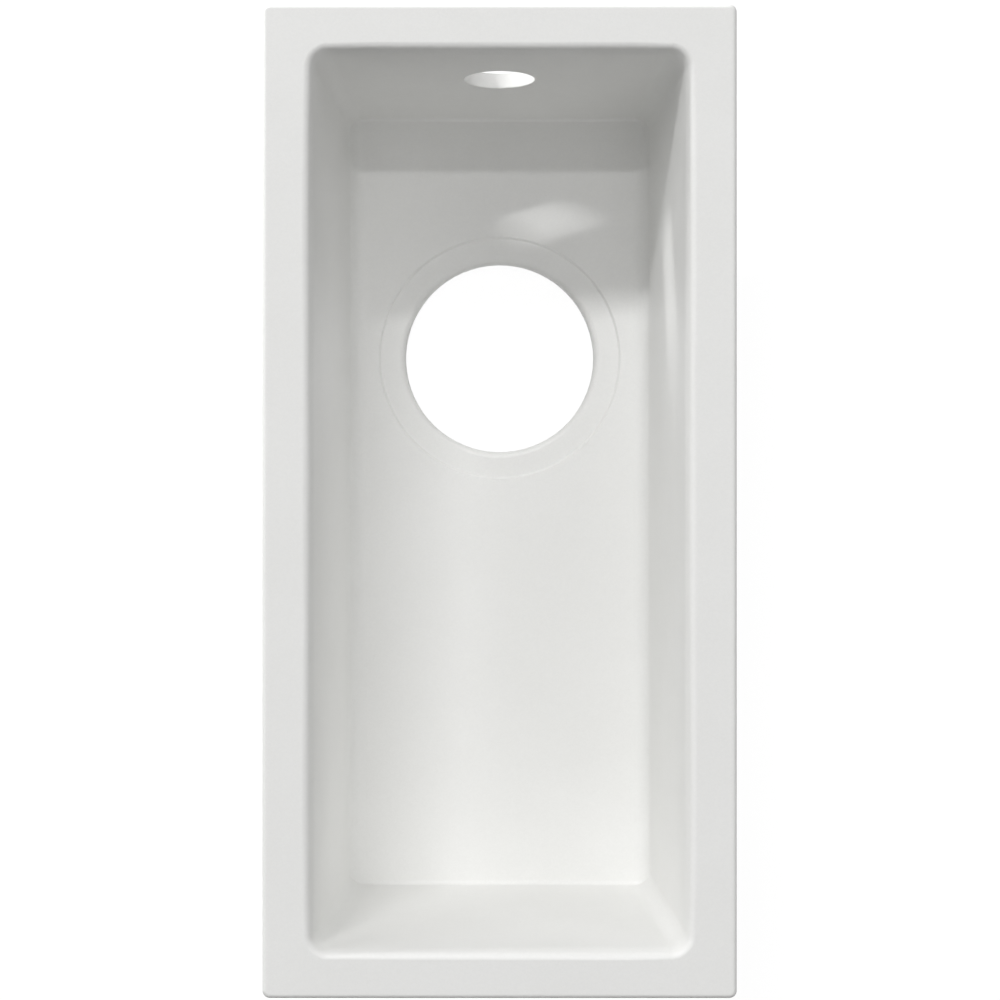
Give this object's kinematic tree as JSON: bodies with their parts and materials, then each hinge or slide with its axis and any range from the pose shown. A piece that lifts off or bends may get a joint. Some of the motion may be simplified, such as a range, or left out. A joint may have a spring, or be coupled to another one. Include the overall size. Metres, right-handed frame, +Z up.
{
  "type": "inset kitchen sink bowl",
  "caption": "Narrow rectangular stone-composite sink bowl with a flat rim, round waste hole, overflow hole, foam seals and swing-out worktop clips under the rim.",
  "frame": {"origin": "middle of the flat base, under the centre of the rim", "axes": "+X across the sink to the right in the picture, +Y to the overflow wall, +Z up out of the mouth"},
  "size_m": [0.21, 0.44, 0.14],
  "materials": {
    "composite": "satin, cast",
    "foam": "closed-cell foam strip",
    "brass": "turned",
    "screw_steel": "stainless",
    "washer_steel": "stainless",
    "clip_steel": "zinc-plated"
  },
  "bodies": {
    "sink": {"bowl": "composite", "seal_left": "foam", "seal_right": "foam", "seal_front": "foam", "seal_back": "foam", "insert_left_front": "brass", "insert_left_middle": "brass", "insert_left_back": "brass", "insert_right_front": "brass", "insert_right_middle": "brass", "insert_right_back": "brass"},
    "lift_left_front": {"washer_left_front": "washer_steel"},
    "screw_left_front": {"screw_left_front": "screw_steel"},
    "clip_left_front": {"clip_left_front": "clip_steel"},
    "lift_left_middle": {"washer_left_middle": "washer_steel"},
    "screw_left_middle": {"screw_left_middle": "screw_steel"},
    "clip_left_middle": {"clip_left_middle": "clip_steel"},
    "lift_left_back": {"washer_left_back": "washer_steel"},
    "screw_left_back": {"screw_left_back": "screw_steel"},
    "clip_left_back": {"clip_left_back": "clip_steel"},
    "lift_right_front": {"washer_right_front": "washer_steel"},
    "screw_right_front": {"screw_right_front": "screw_steel"},
    "clip_right_front": {"clip_right_front": "clip_steel"},
    "lift_right_middle": {"washer_right_middle": "washer_steel"},
    "screw_right_middle": {"screw_right_middle": "screw_steel"},
    "clip_right_middle": {"clip_right_middle": "clip_steel"},
    "lift_right_back": {"washer_right_back": "washer_steel"},
    "screw_right_back": {"screw_right_back": "screw_steel"},
    "clip_right_back": {"clip_right_back": "clip_steel"}
  },
  "joints": [
    {"name": "screw_climb_left_front", "type": "slide", "parent": "sink", "child": "lift_left_front", "axis": [0, 0, 1], "range_m": [0, 0.01]},
    {"name": "screw_turn_left_front", "type": "hinge", "parent": "lift_left_front", "child": "screw_left_front", "pos_m": [-0.09114, -0.15, 0.081], "axis": [0, 0, 1], "range_deg": [0, 5143]},
    {"name": "clip_swing_left_front", "type": "hinge", "parent": "lift_left_front", "child": "clip_left_front", "pos_m": [-0.09114, -0.15, 0.082], "axis": [0, 0, 1], "range_deg": [0, 90]},
    {"name": "screw_climb_left_middle", "type": "slide", "parent": "sink", "child": "lift_left_middle", "axis": [0, 0, 1], "range_m": [0, 0.01]},
    {"name": "screw_turn_left_middle", "type": "hinge", "parent": "lift_left_middle", "child": "screw_left_middle", "pos_m": [-0.09114, 0, 0.081], "axis": [0, 0, 1], "range_deg": [0, 5143]},
    {"name": "clip_swing_left_middle", "type": "hinge", "parent": "lift_left_middle", "child": "clip_left_middle", "pos_m": [-0.09114, 0, 0.082], "axis": [0, 0, 1], "range_deg": [0, 90]},
    {"name": "screw_climb_left_back", "type": "slide", "parent": "sink", "child": "lift_left_back", "axis": [0, 0, 1], "range_m": [0, 0.01]},
    {"name": "screw_turn_left_back", "type": "hinge", "parent": "lift_left_back", "child": "screw_left_back", "pos_m": [-0.09114, 0.15, 0.081], "axis": [0, 0, 1], "range_deg": [0, 5143]},
    {"name": "clip_swing_left_back", "type": "hinge", "parent": "lift_left_back", "child": "clip_left_back", "pos_m": [-0.09114, 0.15, 0.082], "axis": [0, 0, 1], "range_deg": [0, 90]},
    {"name": "screw_climb_right_front", "type": "slide", "parent": "sink", "child": "lift_right_front", "axis": [0, 0, 1], "range_m": [0, 0.01]},
    {"name": "screw_turn_right_front", "type": "hinge", "parent": "lift_right_front", "child": "screw_right_front", "pos_m": [0.09114, -0.15, 0.081], "axis": [0, 0, 1], "range_deg": [0, 5143]},
    {"name": "clip_swing_right_front", "type": "hinge", "parent": "lift_right_front", "child": "clip_right_front", "pos_m": [0.09114, -0.15, 0.082], "axis": [0, 0, 1], "range_deg": [0, 90]},
    {"name": "screw_climb_right_middle", "type": "slide", "parent": "sink", "child": "lift_right_middle", "axis": [0, 0, 1], "range_m": [0, 0.01]},
    {"name": "screw_turn_right_middle", "type": "hinge", "parent": "lift_right_middle", "child": "screw_right_middle", "pos_m": [0.09114, 0, 0.081], "axis": [0, 0, 1], "range_deg": [0, 5143]},
    {"name": "clip_swing_right_middle", "type": "hinge", "parent": "lift_right_middle", "child": "clip_right_middle", "pos_m": [0.09114, 0, 0.082], "axis": [0, 0, 1], "range_deg": [0, 90]},
    {"name": "screw_climb_right_back", "type": "slide", "parent": "sink", "child": "lift_right_back", "axis": [0, 0, 1], "range_m": [0, 0.01]},
    {"name": "screw_turn_right_back", "type": "hinge", "parent": "lift_right_back", "child": "screw_right_back", "pos_m": [0.09114, 0.15, 0.081], "axis": [0, 0, 1], "range_deg": [0, 5143]},
    {"name": "clip_swing_right_back", "type": "hinge", "parent": "lift_right_back", "child": "clip_right_back", "pos_m": [0.09114, 0.15, 0.082], "axis": [0, 0, 1], "range_deg": [0, 90]}
  ],
  "couplings": [
    {"joint": "screw_turn_left_front", "follows": "screw_climb_left_front", "rad_per_m": 8976},
    {"joint": "screw_turn_left_middle", "follows": "screw_climb_left_middle", "rad_per_m": 8976},
    {"joint": "screw_turn_left_back", "follows": "screw_climb_left_back", "rad_per_m": 8976},
    {"joint": "screw_turn_right_front", "follows": "screw_climb_right_front", "rad_per_m": 8976},
    {"joint": "screw_turn_right_middle", "follows": "screw_climb_right_middle", "rad_per_m": 8976},
    {"joint": "screw_turn_right_back", "follows": "screw_climb_right_back", "rad_per_m": 8976}
  ]
}
